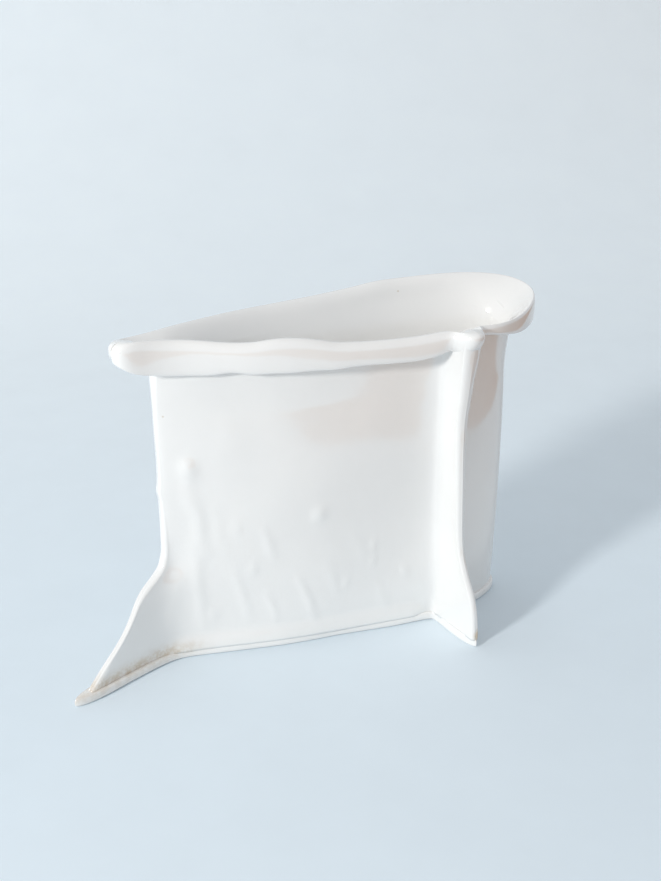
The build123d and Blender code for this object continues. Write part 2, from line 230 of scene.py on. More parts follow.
def frontInner(z):
    return innerLine(frontWall(z, vase["lipFlare"]))


def backInner(z):
    return innerLine(backWall(z, vase["lipFlare"]))


def flank(seam, fin, reach, half, side, swell, edgeRound):  # edge and middle of one side of a fin
    flat = reach - np.minimum(half * vase["roundShare"], edgeRound)
    return seam + fin * flat + side * half, seam + fin * flat * vase["swellAt"] + side * half * swell


def corner(seam, along, distance, fin, side, half):  # where the wall's face meets the fin's flank
    wallPoint = seam + rightOf(along) * distance
    gap = seam + side * half - wallPoint
    cross = along[..., 0] * fin[..., 1] - along[..., 1] * fin[..., 0]
    step = (gap[..., 0] * fin[..., 1] - gap[..., 1] * fin[..., 0]) / cross
    return wallPoint + along * step[..., None]


def skin(line, thick, start, end):  # along a fin's flank, round its hollow, along the wall and out to the other fin
    ends = ((line[0], unit(line[1] - line[0]), start, 1.0), (line[-1], unit(line[-1] - line[-2]), end, -1.0))
    points = []
    for seam, along, fin, flip in ends:
        side = rightOf(-flip * fin["way"])
        tip, middle = flank(seam, fin["way"], fin["reach"], fin["half"], side, fin["swell"], fin["round"])
        wallPoint = seam + flip * along * fin["cove"] + rightOf(along) * (thick - fin["dip"])
        meet = corner(seam, along, thick, fin["way"], side, fin["half"])
        points.append([tip, middle, between(between(middle, wallPoint, 0.5), meet, fin["tight"]), wallPoint])
    return [*points[0], *pushed(line, [thick] * (len(line) - 2)), *points[1][::-1]]


def tightAt(z):
    return 1.0 - ease(z / vase["tightUpTo"])[..., None]


def leftEnd(z, ledge, tongue):
    return {
        "way": leftFin(z),
        "reach": finSize("leftReach", z) + tongue,
        "half": finSize("leftLeaf", z) + ledge,
        "swell": vase["leftSwell"],
        "round": vase["edgeRound"][0],
        "cove": finSize("leftCove", z),
        "tight": tightAt(z) * vase["tightness"][0],
        "dip": 0.0,
    }


def rightEnd(z, ledge, tongue, swell, dip=0.0):
    return {
        "way": rightFin(z),
        "reach": finSize("rightReach", z) + tongue,
        "half": finSize("rightLeaf", z) + ledge * vase["ribLedge"],
        "swell": swell,
        "round": vase["edgeRound"][1],
        "cove": finSize("rightCove", z),
        "tight": tightAt(z) * vase["tightness"][1],
        "dip": dip,
    }


def frontSkin(z, thick, ledge=0.0, tongues=(0.0, 0.0)):
    ribSwell = follow(vase["ribSwell"], z / mm)[..., None]
    dip = vase["frontDip"] * rising(z, *vase["frontDipOver"])[..., None]
    left = leftEnd(z, ledge, tongues[0])
    right = rightEnd(z, ledge, tongues[1], ribSwell, dip)
    return skin(frontWall(z, vase["flare"]), thick, left, right)


def backSkin(z, thick, ledge=0.0, tongues=(0.0, 0.0)):
    left = leftEnd(z, ledge, tongues[0])
    right = rightEnd(z, ledge, tongues[1], vase["backSwell"])
    return skin(backWall(z, vase["flare"]), thick, right, left)


# White glaze, with warm shade painted into the creases along the floor lines, and bare at one foot

glaze = {
    "white": (0.880, 0.872, 0.852),
    "shade": (0.850, 0.846, 0.830),
    # painted crease shade, also the tint of the pinholes
    "creaseShadeAndPinhole": (0.600, 0.490, 0.360),
    "clay": (0.610, 0.480, 0.330),
    "roughness": 0.07,
    "bareRoughness": 0.45,  # more on bare clay
    "ior": 1.9,
    "coat": (0.6, 0.04),  # weight and roughness
    "ripple": 0.10,
    "rippleHeight": 0.001,
    "peel": 0.035,  # share of the fine bumps beside the soft ones
    "pinholesAbove": 0.93,  # cells with a higher random value have a pinhole
    "pinholeTint": 0.55,
}


def addNode(tree, kind, spot, sockets=None):
    node = tree.nodes.new(kind)
    node.location = spot
    for name, value in (sockets or {}).items():
        node.inputs[name].default_value = value
    return node


def addMath(tree, operation, spot, second=None):
    node = addNode(tree, "ShaderNodeMath", spot)
    node.operation = operation
    if second is not None:
        node.inputs[1].default_value = second
    return node


def addMix(tree, spot, sockets=None):  # of two colours
    node = addNode(tree, "ShaderNodeMix", spot, sockets)
    node.data_type = "RGBA"
    return node


def glazeGroup():
    tree = bpy.data.node_groups.new("glazeSkin", "ShaderNodeTree")
    for name, kind in (("Vector", "NodeSocketVector"), ("White", "NodeSocketColor"), ("Shade", "NodeSocketColor"),
                       ("CreaseShadeAndPinhole", "NodeSocketColor"), ("Clay", "NodeSocketColor"), ("CreaseShade", "NodeSocketFloat"),
                       ("Bare", "NodeSocketFloat"), ("Roughness", "NodeSocketFloat")):
        tree.interface.new_socket(name=name, in_out="INPUT", socket_type=kind)
    for name, kind in (("Color", "NodeSocketColor"), ("Roughness", "NodeSocketFloat"), ("Height", "NodeSocketFloat")):
        tree.interface.new_socket(name=name, in_out="OUTPUT", socket_type=kind)
    put = addNode(tree, "NodeGroupInput", (-1000, 0))
    out = addNode(tree, "NodeGroupOutput", (900, 0))
    link = tree.links.new

    # Cloudy white
    cloud = addNode(tree, "ShaderNodeTexNoise", (-780, 300), {"Scale": 38.0, "Detail": 3.0, "Roughness": 0.5})
    link(put.outputs["Vector"], cloud.inputs["Vector"])
    cloudShare = addNode(tree, "ShaderNodeMapRange", (-580, 300), {"From Min": 0.35, "From Max": 0.70})
    link(cloud.outputs["Fac"], cloudShare.inputs["Value"])
    tone = addMix(tree, (-380, 300))
    link(cloudShare.outputs["Result"], tone.inputs["Factor"])
    link(put.outputs["White"], tone.inputs["A"])
    link(put.outputs["Shade"], tone.inputs["B"])

    # Warm shade painted into the creases, broken up by fine noise, and bare clay
    grit = addNode(tree, "ShaderNodeTexNoise", (-780, 40), {"Scale": 420.0, "Detail": 4.0, "Roughness": 0.65})
    link(put.outputs["Vector"], grit.inputs["Vector"])
    gritShare = addNode(tree, "ShaderNodeMapRange", (-580, 40),
                        {"From Min": 0.36, "From Max": 0.62, "To Min": 0.35, "To Max": 1.0})
    link(grit.outputs["Fac"], gritShare.inputs["Value"])
    creaseShadeShare = addMath(tree, "MULTIPLY", (-380, 40))
    link(gritShare.outputs["Result"], creaseShadeShare.inputs[0])
    link(put.outputs["CreaseShade"], creaseShadeShare.inputs[1])
    creaseShaded = addMix(tree, (-160, 200))
    link(creaseShadeShare.outputs["Value"], creaseShaded.inputs["Factor"])
    link(tone.outputs["Result"], creaseShaded.inputs["A"])
    link(put.outputs["CreaseShadeAndPinhole"], creaseShaded.inputs["B"])
    bare = addMix(tree, (60, 200))
    link(put.outputs["Bare"], bare.inputs["Factor"])
    link(creaseShaded.outputs["Result"], bare.inputs["A"])
    link(put.outputs["Clay"], bare.inputs["B"])

    # A few pinholes
    cells = addNode(tree, "ShaderNodeTexVoronoi", (-780, -240), {"Scale": 95.0})
    link(put.outputs["Vector"], cells.inputs["Vector"])
    pick = addNode(tree, "ShaderNodeSeparateColor", (-580, -340))
    link(cells.outputs["Color"], pick.inputs["Color"])
    few = addMath(tree, "GREATER_THAN", (-380, -340), glaze["pinholesAbove"])
    link(pick.outputs["Red"], few.inputs[0])
    pit = addNode(tree, "ShaderNodeMapRange", (-580, -180),
                  {"From Min": 0.02, "From Max": 0.05, "To Min": 1.0, "To Max": 0.0})
    link(cells.outputs["Distance"], pit.inputs["Value"])
    pinhole = addMath(tree, "MULTIPLY", (-160, -260))
    link(few.outputs["Value"], pinhole.inputs[0])
    link(pit.outputs["Result"], pinhole.inputs[1])
    speckShare = addMath(tree, "MULTIPLY", (60, -40), glaze["pinholeTint"])
    link(pinhole.outputs["Value"], speckShare.inputs[0])
    speck = addMix(tree, (280, 200))
    link(speckShare.outputs["Value"], speck.inputs["Factor"])
    link(bare.outputs["Result"], speck.inputs["A"])
    link(put.outputs["CreaseShadeAndPinhole"], speck.inputs["B"])
    link(speck.outputs["Result"], out.inputs["Color"])

    # Soft bumps, fine peel and pits
    soft = addNode(tree, "ShaderNodeTexNoise", (-780, -520), {"Scale": 75.0, "Detail": 2.0, "Roughness": 0.45})
    link(put.outputs["Vector"], soft.inputs["Vector"])
    peel = addNode(tree, "ShaderNodeTexNoise", (-780, -740), {"Scale": 650.0, "Detail": 2.0, "Roughness": 0.5})
    link(put.outputs["Vector"], peel.inputs["Vector"])
    peelShare = addMath(tree, "MULTIPLY", (-560, -740), glaze["peel"])
    link(peel.outputs["Fac"], peelShare.inputs[0])
    height = addMath(tree, "ADD", (-340, -600))
    link(soft.outputs["Fac"], height.inputs[0])
    link(peelShare.outputs["Value"], height.inputs[1])
    pitted = addMath(tree, "SUBTRACT", (60, -520))
    link(height.outputs["Value"], pitted.inputs[0])
    link(pinhole.outputs["Value"], pitted.inputs[1])
    link(pitted.outputs["Value"], out.inputs["Height"])

    # Gloss, a little uneven, and matt clay
    dull = addNode(tree, "ShaderNodeMapRange", (280, -220), {"To Min": 0.0, "To Max": 0.06})
    link(cloud.outputs["Fac"], dull.inputs["Value"])
    gloss = addMath(tree, "ADD", (480, -180))
    link(put.outputs["Roughness"], gloss.inputs[0])
    link(dull.outputs["Result"], gloss.inputs[1])
    matt = addMath(tree, "MULTIPLY_ADD", (680, -180), glaze["bareRoughness"])
    link(put.outputs["Bare"], matt.inputs[0])
    link(gloss.outputs["Value"], matt.inputs[2])
    link(matt.outputs["Value"], out.inputs["Roughness"])
    return tree


def glazeMaterial(name, group):
    material = bpy.data.materials.new(name)
    material.use_nodes = True
    tree = material.node_tree
    shader = tree.nodes["Principled BSDF"]
    shader.inputs["IOR"].default_value = glaze["ior"]
    shader.inputs["Coat Weight"].default_value, shader.inputs["Coat Roughness"].default_value = glaze["coat"]
    coords = addNode(tree, "ShaderNodeTexCoord", (-900, 0))
    # mask of the shade painted into the creases
    creaseShade = addNode(tree, "ShaderNodeAttribute", (-900, -260))
    creaseShade.attribute_name = "creaseShade"
    bare = addNode(tree, "ShaderNodeAttribute", (-900, -460))
    bare.attribute_name = "bareClay"
    coat = addNode(tree, "ShaderNodeGroup", (-600, 0))
    coat.node_tree = group
    for socket, key in (("White", "white"), ("Shade", "shade"), ("CreaseShadeAndPinhole", "creaseShadeAndPinhole"), ("Clay", "clay")):
        coat.inputs[socket].default_value = (*glaze[key], 1.0)
    coat.inputs["Roughness"].default_value = glaze["roughness"]
    link = tree.links.new
    link(coords.outputs["Object"], coat.inputs["Vector"])
    link(creaseShade.outputs["Fac"], coat.inputs["CreaseShade"])
    link(bare.outputs["Fac"], coat.inputs["Bare"])
    bump = addNode(tree, "ShaderNodeBump", (-300, -240),
                   {"Strength": glaze["ripple"], "Distance": glaze["rippleHeight"]})
    link(coat.outputs["Height"], bump.inputs["Height"])
    link(coat.outputs["Color"], shader.inputs["Base Color"])
    link(coat.outputs["Roughness"], shader.inputs["Roughness"])
    link(bump.outputs["Normal"], shader.inputs["Normal"])
    return material


whiteGlaze = glazeMaterial("whiteGlaze", glazeGroup())
print("glaze ready")


# Mesh helpers

def startSheet(points):  # a grid bent onto points, rows by columns
    bm = bmesh.new()
    rows, columns = points.shape[:2]
    bmesh.ops.create_grid(bm, x_segments=columns - 1, y_segments=rows - 1, size=1.0)
    bm.verts.index_update()
    for vert, point in zip(bm.verts, points.reshape(-1, 3)):
        vert.co = point
    return bm


def paint(bm, name, values):  # a mask that the glaze reads, one value for each vertex
    layer = bm.verts.layers.float.new(name)
    for vert, value in zip(bm.verts, values.reshape(-1)):
        vert[layer] = value


def closeSheet(bm, columns, touch=1e-6):  # joins the sheet's edges where they meet and caps what is left open
    rows = len(bm.verts) // columns
    rim = [v for v in bm.verts if v.index % columns in (0, columns - 1) or v.index // columns in (0, rows - 1)]
    bmesh.ops.remove_doubles(bm, verts=rim, dist=touch)
    openEdges = [e for e in bm.edges if e.is_boundary]
    bmesh.ops.holes_fill(bm, edges=openEdges, sides=0)
    bmesh.ops.recalc_face_normals(bm, faces=bm.faces)
    for face in bm.faces:
        face.smooth = True
    for edge in openEdges:
        edge.smooth = False  # the caps don't bend the shading beside them


def hardRow(bm, columns, row):  # keeps a row's shading apart on its two sides
    for edge in bm.edges:
        if all(vert.index // columns == row for vert in edge.verts):
            edge.smooth = False


def hardEnds(bm, columns):  # the same along the first and the last column
    ends = (0, columns - 1)
    for edge in bm.edges:
        if all(vert.index % columns in ends for vert in edge.verts):
            edge.smooth = False


def finishPiece(name, bm, node):
    mesh = bpy.data.meshes.new(name)
    bm.to_mesh(mesh)
    bm.free()
    piece = bpy.data.objects.new(name, mesh)
    bpy.context.scene.collection.objects.link(piece)
    mesh.materials.append(whiteGlaze)
    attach(piece, "root")
    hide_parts(node)
    print(name, "stands for", node, "with", len(mesh.polygons), "faces")


def ripple(points, size, seed):  # slow unevenness of hand-rolled clay, about -1 to 1
    flat = points.reshape(-1, 3)
    values = [noise.noise(Vector(p) / size + Vector((seed, seed, seed))) for p in flat]
    return np.array(values).reshape(points.shape[:-1])


# Mouth roll: how its crown rises and falls and how deep its band is

mouth = {
    "frontCrown": ((-75, 126.8), (-62, 127.6), (-50, 127.0), (-44, 126.7), (-38, 126.2), (-30, 125.4), (-22, 125.2),
                   (-12, 126.2), (-5, 126.0), (2, 125.0), (8, 123.8), (16, 123.2), (26, 123.0), (38, 123.2),
                   (50, 124.4), (60, 125.6)),  # mm along, mm up
    "backCrown": ((0, 125.4), (0.14, 124.6), (0.22, 124.4), (0.30, 124.7), (0.36, 126.2), (0.40, 127.6),
                  (0.45, 129.6), (0.52, 130.8), (0.58, 130.3), (0.61, 129.9), (0.64, 128.5), (0.68, 127.2),
                  (0.72, 126.6), (0.78, 126.6), (0.84, 126.7), (0.90, 126.2), (0.95, 126.2),
                  (1, 126.8)),  # share round the back, mm up
    "rightMeet": (0.0, 0.08),  # where the back's crown leaves the front's, and where it comes back to it
    "leftMeet": (0.93, 0.07),
    "frontBand": ((-75, 5.6), (-69, 7.2), (-62, 10.8), (-54, 12.2), (-45, 12.4), (-36, 11.8), (-29, 10.4), (-20, 11.3),
                  (-8, 12.1), (4, 10.3), (16, 8.4), (28, 8.4), (40, 8.6), (48, 8.0), (60, 7.0)),
    "backBand": ((0, 7.0), (0.10, 3.4), (0.17, 3.6), (0.22, 4.8), (0.27, 7), (0.33, 9.2), (0.40, 10.8), (0.5, 9.6),
                 (0.8, 9.6), (0.95, 8), (1, 4.6)),
    "frontDepth": 0.0090,  # the roll's inner face ends this far below its crown
    "backDepth": ((0, 9), (0.10, 7.5), (0.20, 7.5), (0.26, 9), (0.34, 12), (0.42, 13), (0.52, 11), (0.6, 10), (0.7, 9),
                  (1, 9)),
    "frontRound": 0.0036,
    "leftRound": (0.0020, 0.30),  # rounder at the left, up to this share of the front
    "joinRound": 0.0006,  # less round where the roll runs into the right fin
    "backRound": ((0, 3.0), (0.12, 1.6), (0.42, 1.6), (0.55, 2.8), (0.8, 3.6), (1, 3.6)),  # mm
    "frontShoulder": (0.0105, 0.0060, (0.0, 0.22), 0.0050, (0.80, 0.20)),  # at first, more over, less over
    "backShoulder": (0.0115, 0.0120, (0.0, 0.16), 0.0130, (0.88, 0.12)),
    "frontJoin": (0.74, 0.16),  # the roll runs into the right fin
    "backJoin": (0.01, 0.09),
    "frontTuck": 0.62,  # the slab's outer face ends inside the roll, share of the depth
    "backTuck": (0.52, 0.70),
    "backTuckOver": (0.12, 0.08),
    "cornerTuck": (0.0013, 0.40, 0.06),  # deeper at the right corner: how much, where, how wide
    "joinTuck": 0.0036,
    "frontOverhang": (0.0026, 0.0026, 0.0048, 0.0060),
    "backOverhang": (0.0070, 0.0036, 0.0030, 0.0026, 0.0026, 0.0036),
    "rightCorner": (0.0950, 0.0360),
    "ringShare": ((0, 0), (0.273, 0.25), (0.364, 0.333), (0.455, 0.5), (0.545, 0.583), (0.636, 0.667), (0.727, 0.75),
                  (1, 1)),
    "leftReach": 0.0190,
    "leftTurn": 207.0,
    "leftHalf": (0.0048, 0.0068),
    "leftRun": 0.008,  # from the seam to the wall's even face
    "rightReach": 0.0192,
    "rightHalf": 0.0044,
    "rightRun": 0.009,
    "endHalf": (0.95, 1.15),  # times the half width, at an end's tip and at its middle
    "endMiddle": 0.5,
    "frontColumns": 260,
    "backColumns": 420,
    "rows": 52,
    "crowd": (0.45, 0.4),  # of the front and back columns towards the seams
}
section = {
    # Share of the depth and of the face, out, share of the depth down
    "inside": ((0.0, 0.0, 0.0, 1.0), (0.10, 0.0, 0.0, 0.70), (0.0, 0.42, 0.0003, 0.40), (0.0, 0.80, 0.0, 0.155)),
    "rolledCrest": (0.0005, 0.0001),  # past the shoulder, up
    "rounding": ((0.4, 0.0, 0.16), (0.0, 0.0001, -0.34)),  # share of the round drawn in, out, share of the round up
    "band": ((0.0003, 0.40), (0.0002, 0.72), (-0.0001, 0.96), (-0.0011, 1.03), (-0.0022, 0.95)),  # out, share down
    "mergedCrest": (0.0010, -0.0001),
    "merged": ((-0.0034, -0.0003), (-0.0010, -0.0012), (-0.0011, -0.0030), (-0.0019, -0.0050), (-0.0031, -0.0068),
               (-0.0046, -0.0080), (-0.0064, -0.0088)),  # out, up
    "underside": ((0.30, 0.0, 0.80), (0.0, 0.0020, 0.90)),  # share of the width, out, share of the depth down
    "underBand": 0.97,  # at least this share of the band down, hidden in the wall
}
rimZ = np.array([vase["rim"]])
leftLip = heading(mouth["leftTurn"])
rightLip = rightFin(rimZ)
frontShares = spread(frontInner(rimZ), mouth["frontColumns"], mouth["crowd"][0])
backShares = spread(backInner(rimZ), mouth["backColumns"], mouth["crowd"][1])


def lipEnd(seam, way, reach, half, side):
    atTip, atMiddle = mouth["endHalf"]
    tip = seam + way * reach
    return [tip, tip + side * half * atTip, seam + way * reach * mouth["endMiddle"] + side * half * atMiddle]


def frontRing(shares):  # outer edge of the mouth roll in plan
    line = frontWall(rimZ, vase["flare"])
    start = lipEnd(line[0], leftLip, mouth["leftReach"], mouth["leftHalf"][0], rightOf(-leftLip))
    end = lipEnd(line[-1], rightLip, mouth["rightReach"], mouth["rightHalf"], rightOf(rightLip))
    distances = [vase["wall"] + overhang for overhang in mouth["frontOverhang"]]
    along = unit(line[1] - line[0])
    start.append(line[0] + along * mouth["leftRun"] + rightOf(along) * distances[0])
    along = unit(line[-1] - line[-2])
    end.append(line[-1] - along * mouth["rightRun"] + rightOf(along) * distances[-1])
    return runAlong([*start, *pushed(line, distances[1:-1]), *end[::-1]], shares)


def backRing(shares):
    line = backWall(rimZ, vase["flare"])
    start = lipEnd(line[0], rightLip, mouth["rightReach"], mouth["rightHalf"], rightOf(-rightLip))
    end = lipEnd(line[-1], leftLip, mouth["leftReach"], mouth["leftHalf"][1], rightOf(leftLip))
    distances = [vase["wall"] + overhang for overhang in mouth["backOverhang"]]
    along = unit(line[1] - line[0])
    start.append(line[0] + along * mouth["rightRun"] + rightOf(along) * distances[0])
    along = unit(line[-1] - line[-2])
    end.append(line[-1] - along * mouth["leftRun"] + rightOf(along) * distances[-1])
    points = pushed(line, distances)
    points.insert(2, np.array(mouth["rightCorner"]) + 0 * points[0])
    return runAlong([*start, *points, *end[::-1]], shares)


def shoulderAt(name, shares):
    width, more, moreOver, less, lessOver = mouth[name]
    return width + more * rising(shares, *moreOver) - less * rising(shares, *lessOver)


def crownRoll(inner, outer, crown, depth, band, flush, shoulder, edgeRound):
    wide = np.linalg.norm(outer - inner, axis=1)
    face = np.minimum(wide - edgeRound, shoulder)  # from the inner edge to the crown's shoulder
    still = np.zeros_like(wide)
    inside = [(depth * low + face * along + out, -depth * down) for low, along, out, down in section["inside"]]
    hidden = band * section["underBand"]
    under = [(wide * share + out, -np.maximum(hidden, depth * down)) for share, out, down in section["underside"]]
    crests = [(face + past, still + up) for past, up in (section["rolledCrest"], section["mergedCrest"])]
    rolled = [*inside, crests[0]]
    rolled += [(wide - edgeRound * drawn + out, edgeRound * up) for drawn, out, up in section["rounding"]]
    rolled += [(wide + out, -band * down) for out, down in section["band"]]
    merged = [*inside, crests[1], *((wide + out, still + up) for out, up in section["merged"])]
    stations = []
    for (n, h), (nFlush, hFlush) in zip([*rolled, *under], [*merged, *under]):
        stations.append(np.stack((between(n, nFlush, flush), between(h, hFlush, flush)), -1)[:, None, :])
    rows = np.linspace(0.0, 1.0, mouth["rows"])
    grid = runAlong(stations, np.tile(rows, (len(crown), 1)))
    plan = inner[:, None, :] + unit(outer - inner)[:, None, :] * grid[..., :1]
    return np.concatenate((plan, (crown[:, None] + grid[..., 1])[..., None]), -1)


def rollPiece(name, node, *edges):
    points = crownRoll(*edges)
    points = np.concatenate((points, points[:, :1]), 1)  # back to the inner edge, inside the wall
    bm = startSheet(points)
    hardEnds(bm, points.shape[1])
    closeSheet(bm, points.shape[1])
    finishPiece(name, bm, node)


ringShares = follow(mouth["ringShare"], backShares)  # the ring has one corner more than the wall
frontOut = frontRing(frontShares)
backOut = backRing(ringShares)
frontCrown = follow(mouth["frontCrown"], frontOut[:, 0] / mm) * mm
backCrown = follow(mouth["backCrown"], ringShares) * mm
backCrown += (frontCrown[-1] - backCrown[0]) * (1.0 - rising(ringShares, *mouth["rightMeet"]))
backCrown += (frontCrown[0] - backCrown[-1]) * rising(ringShares, *mouth["leftMeet"])
joinFront = rising(frontShares, *mouth["frontJoin"])
joinBack = 1.0 - rising(ringShares, *mouth["backJoin"])

frontDepth = np.full(len(frontShares), mouth["frontDepth"])
backDepth = follow(mouth["backDepth"], ringShares) * mm
frontEdge = frontCrown - frontDepth
backEdge = backCrown - backDepth
frontIn = runAlong(frontInner(frontEdge), frontShares)
backIn = runAlong(backInner(backEdge), backShares)
frontBand = follow(mouth["frontBand"], frontOut[:, 0] / mm) * mm
backBand = follow(mouth["backBand"], ringShares) * mm

frontTuck = frontDepth * mouth["frontTuck"]
backTuck = backDepth * between(*mouth["backTuck"], rising(ringShares, *mouth["backTuckOver"]))
deeper, cornerAt, cornerWide = mouth["cornerTuck"]
backTuck += deeper * np.exp(-((ringShares - cornerAt) / cornerWide) ** 2)
frontTop = frontCrown - between(frontTuck, mouth["joinTuck"], joinFront)
backTop = backCrown - between(backTuck, mouth["joinTuck"], joinBack)

rounder, rounderOver = mouth["leftRound"]
frontRound = mouth["frontRound"] - mouth["joinRound"] * joinFront + rounder * (1.0 - ease(frontShares / rounderOver))
backRound = follow(mouth["backRound"], ringShares) * mm
rollPiece("frontMouthRoll", "front_rim_strip", frontIn, frontOut, frontCrown, frontDepth, frontBand, joinFront,
          shoulderAt("frontShoulder", frontShares), frontRound)
rollPiece("backMouthRoll", "back_rim_strip", backIn, backOut, backCrown, backDepth, backBand, joinBack,
          shoulderAt("backShoulder", ringShares), backRound)


# Wall slabs: each section runs along the outer face, round a fin's edge, back along the seam and the inner face

slab = {
    "rows": 110,
    "edgeColumns": 8,
    "edgeUpTo": 0.9,  # share of a leaf's rounded edge that these columns cover
    "seamColumns": 14,
    "sink": 0.0006,  # the slabs sink this far into the floor slab's glaze
    "tuck": (0.75, 0.1),  # the top's middle row, from the inner to the outer edge: share across, share up
    "leftGroove": ((0, 0.9), (28, 0.7), (38, 0.1), (44, 0), (140, 0)),  # mm up, mm between the two leaves
    "rightGroove": ((0, 0.2), (20, 0), (140, 0)),
    "grooveFull": 0.0005,  # a groove this deep sets the leaves apart
    "grooveApart": 0.25,  # by this share of the half thickness
    "fineSteps": 4000,
    "smoothings": 12,
    "evenness": 0.06,
    "marks": (  # x, z, width, height, how far out, mm
        (-44.6, 77.0, 3.4, 4.2, 1.00), (2.4, 55.4, 2.6, 3.0, 0.60), (-30.0, 86.0, 6.0, 7.0, 0.30),
        (-22.5, 35.8, 2.0, 2.6, 0.28), (-37.9, 17.3, 2.2, 3.0, 0.30), (37.4, 24.8, 1.6, 2.2, 0.30),
        (13.1, 23.9, 2.0, 2.4, 0.25), (23.7, 38.0, 1.8, 2.6, 0.30), (24.2, 31.5, 1.8, 2.4, 0.25),
        (-28.6, 53.0, 2.4, 3.6, 0.20),
    ),
    "folds": (  # x, z from, x, z to, width, how far out, mm
        (-45.0, 70.0, -40.5, 44.0, 3.0, 0.55), (-44.5, 46.0, -42.0, 13.0, 2.6, 0.40),
        (-17.6, 50.6, -14.8, 40.0, 2.0, 0.35), (-5.5, 28.5, 0.6, 10.0, 1.9, 0.38),
        (-16.6, 24.0, -14.8, 11.6, 1.8, 0.30), (-30.0, 34.0, -25.0, 14.0, 2.2, 0.28),
        (6.0, 33.0, 9.0, 20.0, 2.0, 0.22), (17.0, 44.0, 20.0, 34.0, 2.2, 0.20),
        (27.0, 20.0, 30.0, 10.0, 2.0, 0.22), (-36.0, 60.0, -34.0, 42.0, 2.6, 0.20),
    ),
    "foldShape": (0.55, 0.45),  # height of a fold's ends, and what its middle adds
    "wanderX": (1.6, 0.012, 5.0),  # no fold runs quite straight: mm, size of the waves, seed
    "wanderZ": (1.2, 0.015, 9.0),
    "frontUneven": (0.00040, 0.030, 3.0),  # how far, size of the waves, seed
    "backUneven": (0.0006, 0.034, 11.0),
    "pressedFrom": (-0.060, 0.012),  # marks and folds keep off both seams
    "pressedTo": (0.040, 0.010),
    "footRun": (0.0016, 0.007),  # the front wall runs out onto the floor slab: how far, how high
}
foot = {
    "shadeLevel": (4.0, 3.2),  # mm up, mm that it fades over
    "shadeUpTo": (-58.0, 22.0),  # mm along the left foot, mm that it fades over
    "creaseShade": (0.02, 0.93),  # painted shade along every floor line, and more along the left foot
    "bareAt": (0.0632, -0.0228, 0.0050),
    "bareOver": (0.0014, 0.0022),
}


def pressed(points):  # fingertip marks and soft folds of the front slab
    wander, size, seed = slab["wanderX"]
    x = points[..., 0] / mm + wander * ripple(points, size, seed)
    wander, size, seed = slab["wanderZ"]
    z = points[..., 2] / mm + wander * ripple(points, size, seed)
    out = np.zeros_like(x)
    for cx, cz, width, tall, high in slab["marks"]:
        out += high * np.exp(-((x - cx) / width) ** 2 - ((z - cz) / tall) ** 2)
    low, more = slab["foldShape"]
    for x0, z0, x1, z1, width, high in slab["folds"]:
        length = (x1 - x0) ** 2 + (z1 - z0) ** 2
        share = np.clip(((x - x0) * (x1 - x0) + (z - z0) * (z1 - z0)) / length, 0.0, 1.0)
        gap = (x - x0 - share * (x1 - x0)) ** 2 + (z - z0 - share * (z1 - z0)) ** 2
        out += high * np.exp(-gap / width ** 2) * (low + more * np.sin(pi * share))
    return out * mm


def heights(tops):
    low = vase["floor"] - slab["sink"]
    return low + (tops[None, :] - low) * np.linspace(0.0, 1.0, slab["rows"])[:, None]


def place(plan, z):
    return np.concatenate((plan, z[..., None]), -1)


def finEdge(fin, z, flip):  # rounded edge of one leaf, from the fin's middle to its flank
    shares = np.linspace(0.0, slab["edgeUpTo"], slab["edgeColumns"])
    z = z[:, None] + 0 * shares
    turn = (1.0 - shares)[:, None] * pi / 2
    reach, half = finSize(fin["reach"], z), finSize(fin["leaf"], z)
    groove = follow(slab[fin["groove"]], z / mm)[..., None] * mm
    apart = np.minimum(groove / slab["grooveFull"], 1.0) * slab["grooveApart"] * (shares > 0.0)[:, None]
    edgeRound = np.minimum(half * vase["roundShare"], fin["round"])
    out = reach - edgeRound * (1.0 - np.sin(turn)) - groove * (shares == 0.0)[:, None]
    wide = half * (apart + (1.0 - apart) * np.cos(turn))
    way = fin["way"](z)
    return place(fin["seam"](z) + way * out + rightOf(flip * way) * wide, z)


def seamRun(tip, seam):  # along the middle of a fin, where the two leaves touch
    shares = np.linspace(0.0, 1.0, slab["seamColumns"], endpoint=False)[None, :, None]
    return between(tip[:, None], seam[:, None], shares)


def endless(values):  # the same value on along the fins
    run = slab["seamColumns"]
    return np.concatenate((np.full(run, values[0]), values, np.full(run, values[-1])))


def facing(skinOf, innerOf, startFin, endFin, innerShares):  # shares of the outer face across from the inner columns
    fine = np.linspace(0.0, 1.0, slab["fineSteps"])
    skinLine = runAlong(skinOf(rimZ, vase["wall"]), fine)
    inner = runAlong(innerOf(rimZ), innerShares)
    tips = [fin["seam"](rimZ)[0] + fin["way"](rimZ)[0] * finSize(fin["reach"], rimZ)[0] for fin in (startFin, endFin)]
    run = np.linspace(0.0, 1.0, slab["seamColumns"], endpoint=False)[:, None]
    inner = np.concatenate((between(tips[0], inner[0], run), inner, between(tips[1], inner[-1], run)[::-1]))
    near = [fine[np.argmin(np.linalg.norm(skinLine - point, axis=1))] for point in inner]
    edge = slab["edgeColumns"]
    near = np.array(near)[edge:-edge]
    even = np.linspace(0.0, 1.0, len(near))
    for _ in range(slab["smoothings"]):  # smooths the steps at the hollows beside the fins
        near[1:-1] = (near[:-2] + near[1:-1] + near[2:]) / 3.0
    near = between(np.maximum.accumulate(near), even, slab["evenness"])
    return (near - near[0]) / (near[-1] - near[0])


